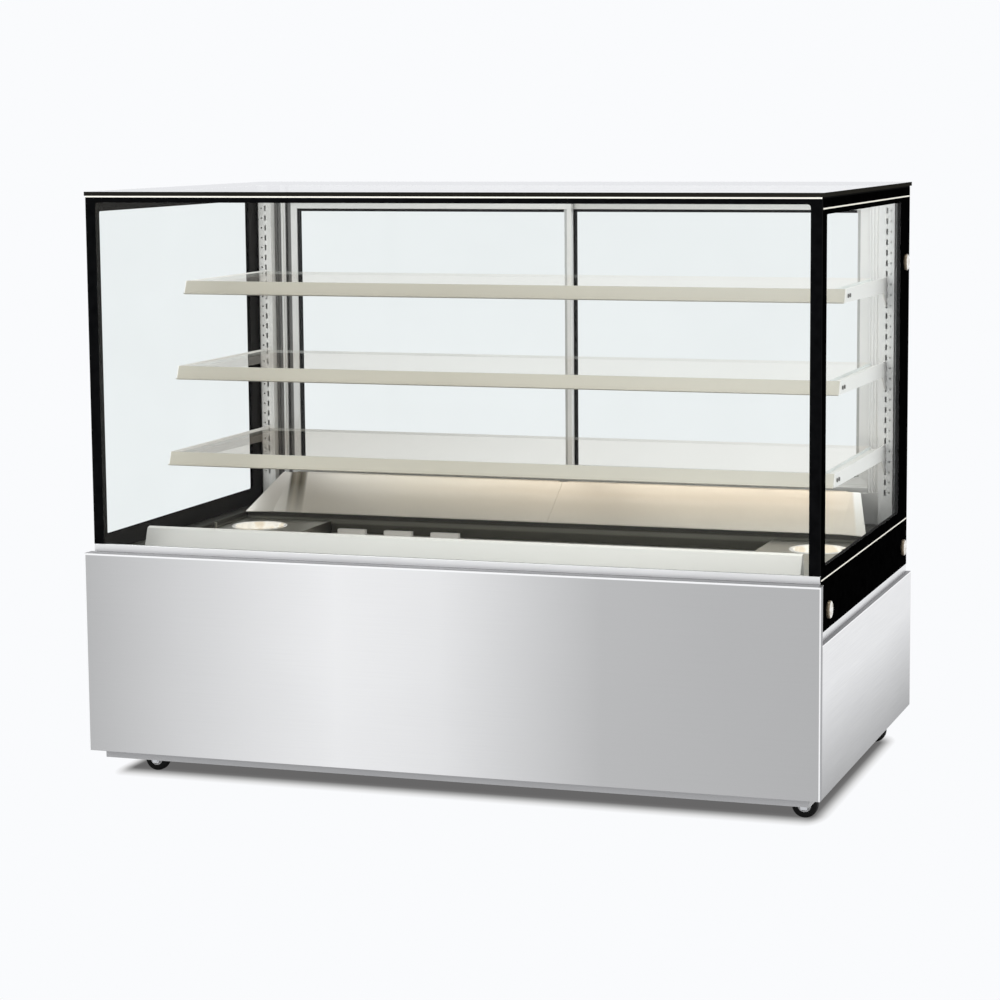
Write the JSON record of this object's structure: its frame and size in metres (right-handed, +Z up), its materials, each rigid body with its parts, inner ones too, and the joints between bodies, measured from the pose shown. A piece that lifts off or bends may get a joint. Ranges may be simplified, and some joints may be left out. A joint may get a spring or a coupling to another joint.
{
  "type": "hot food display case",
  "caption": "Free-standing heated glass display case on castors, with tiered glass shelves, a heated well, a stainless cabinet and rear sliding doors.",
  "frame": {"origin": "on the floor under the middle of the case", "axes": "+X along the front to the right as seen from the front, +Y from the front glass to the service side, +Z up"},
  "size_m": [1.5, 0.9, 1.18],
  "materials": {
    "stainless_panel": "brushed stainless sheet, fine grain across the panel",
    "stainless_inner": "satin stainless sheet",
    "mirror_steel": "bright polished stainless",
    "dark_steel": "dark shadowed stainless of the heated well",
    "satin_aluminium": "satin anodised extrusion",
    "clear_glass": "clear tempered glass with printed black edges",
    "shelf_glass": "clear tempered glass with polished edges",
    "polished_cap": "polished round glass fixing",
    "seal_black": "black glazing seal",
    "castor_metal": "zinc-plated pressed steel",
    "castor_wheel": "black tread on a light grey hub",
    "frame_paint": "grey zinc primer",
    "control_plastic": "black moulded plastic",
    "rocker_plastic": "glossy black rocker",
    "fan_plastic": "black glass-filled plastic",
    "heater_metal": "heat-darkened element sheath",
    "mineral_wool": "mineral wool slab",
    "lamp": "milky lamp cover"
  },
  "bodies": {
    "cabinet": {"base_frame": "frame_paint", "floor_pan": "frame_paint", "castor_plates": "castor_metal", "front_panel": "stainless_panel", "left_panel": "stainless_panel", "right_panel": "stainless_panel", "rear_panel": "stainless_panel", "front_trim": "satin_aluminium", "side_trims": "satin_aluminium", "front_glass": "clear_glass", "left_glass": "clear_glass", "right_glass": "clear_glass", "lid": "clear_glass", "top_trim": "satin_aluminium", "glass_caps": "polished_cap", "light_bar": "lamp", "left_upright": "stainless_inner", "right_upright": "stainless_inner", "top_shelf": "shelf_glass", "middle_shelf": "shelf_glass", "bottom_shelf": "shelf_glass", "top_rail": "satin_aluminium", "middle_rail": "satin_aluminium", "bottom_rail": "satin_aluminium", "top_brackets": "stainless_inner", "middle_brackets": "stainless_inner", "bottom_brackets": "stainless_inner", "bracket_screws": "stainless_inner", "well_casing": "frame_paint", "insulation": "mineral_wool", "deck_tub": "dark_steel", "air_grille": "dark_steel", "deck_plates": "stainless_inner", "water_pans": "stainless_inner", "front_deflector": "stainless_inner", "rear_deflector": "mirror_steel", "heater_elements": "heater_metal", "fan_housings": "fan_plastic", "door_frame": "satin_aluminium", "controller": "control_plastic", "switch_frames": "control_plastic", "cable_gland": "control_plastic"},
    "left_door_body": {"left_door": "satin_aluminium", "left_door_glass": "clear_glass", "left_door_seal": "seal_black"},
    "right_door_body": {"right_door": "satin_aluminium", "right_door_glass": "clear_glass", "right_door_seal": "seal_black"},
    "left_fan_body": {"left_fan": "fan_plastic"},
    "right_fan_body": {"right_fan": "fan_plastic"},
    "power_rocker_body": {"power_rocker": "rocker_plastic"},
    "light_rocker_body": {"light_rocker": "rocker_plastic"},
    "front_left_castor": {"front_left_fork": "castor_metal"},
    "front_left_wheel_body": {"front_left_wheel": "castor_wheel"},
    "front_right_castor": {"front_right_fork": "castor_metal"},
    "front_right_wheel_body": {"front_right_wheel": "castor_wheel"},
    "rear_left_castor": {"rear_left_fork": "castor_metal"},
    "rear_left_wheel_body": {"rear_left_wheel": "castor_wheel"},
    "rear_right_castor": {"rear_right_fork": "castor_metal"},
    "rear_right_wheel_body": {"rear_right_wheel": "castor_wheel"}
  },
  "joints": [
    {"name": "left_door_slide", "type": "slide", "parent": "cabinet", "child": "left_door_body", "axis": [1, 0, 0], "range_m": [0, 0.62]},
    {"name": "right_door_slide", "type": "slide", "parent": "cabinet", "child": "right_door_body", "axis": [1, 0, 0], "range_m": [-0.62, 0]},
    {"name": "left_fan_spin", "type": "hinge", "parent": "cabinet", "child": "left_fan_body", "pos_m": [-0.3, 0, 0.372], "axis": [0, 0, 1], "continuous": true},
    {"name": "right_fan_spin", "type": "hinge", "parent": "cabinet", "child": "right_fan_body", "pos_m": [0.3, 0, 0.372], "axis": [0, 0, 1], "continuous": true},
    {"name": "power_rocker_tilt", "type": "hinge", "parent": "cabinet", "child": "power_rocker_body", "pos_m": [0.48, 0.425, 0.405], "axis": [1, 0, 0], "range_deg": [-16, 0]},
    {"name": "light_rocker_tilt", "type": "hinge", "parent": "cabinet", "child": "light_rocker_body", "pos_m": [0.44, 0.425, 0.405], "axis": [1, 0, 0], "range_deg": [-16, 0]},
    {"name": "front_left_swivel", "type": "hinge", "parent": "cabinet", "child": "front_left_castor", "pos_m": [-0.675, -0.335, 0.06], "axis": [0, 0, 1], "continuous": true},
    {"name": "front_left_spin", "type": "hinge", "parent": "front_left_castor", "child": "front_left_wheel_body", "pos_m": [-0.653, -0.335, 0.025], "axis": [0, 1, 0], "continuous": true},
    {"name": "front_right_swivel", "type": "hinge", "parent": "cabinet", "child": "front_right_castor", "pos_m": [0.675, -0.335, 0.06], "axis": [0, 0, 1], "continuous": true},
    {"name": "front_right_spin", "type": "hinge", "parent": "front_right_castor", "child": "front_right_wheel_body", "pos_m": [0.697, -0.335, 0.025], "axis": [0, 1, 0], "continuous": true},
    {"name": "rear_left_swivel", "type": "hinge", "parent": "cabinet", "child": "rear_left_castor", "pos_m": [-0.675, 0.335, 0.06], "axis": [0, 0, 1], "continuous": true},
    {"name": "rear_left_spin", "type": "hinge", "parent": "rear_left_castor", "child": "rear_left_wheel_body", "pos_m": [-0.653, 0.335, 0.025], "axis": [0, 1, 0], "continuous": true},
    {"name": "rear_right_swivel", "type": "hinge", "parent": "cabinet", "child": "rear_right_castor", "pos_m": [0.675, 0.335, 0.06], "axis": [0, 0, 1], "continuous": true},
    {"name": "rear_right_spin", "type": "hinge", "parent": "rear_right_castor", "child": "rear_right_wheel_body", "pos_m": [0.697, 0.335, 0.025], "axis": [0, 1, 0], "continuous": true}
  ]
}
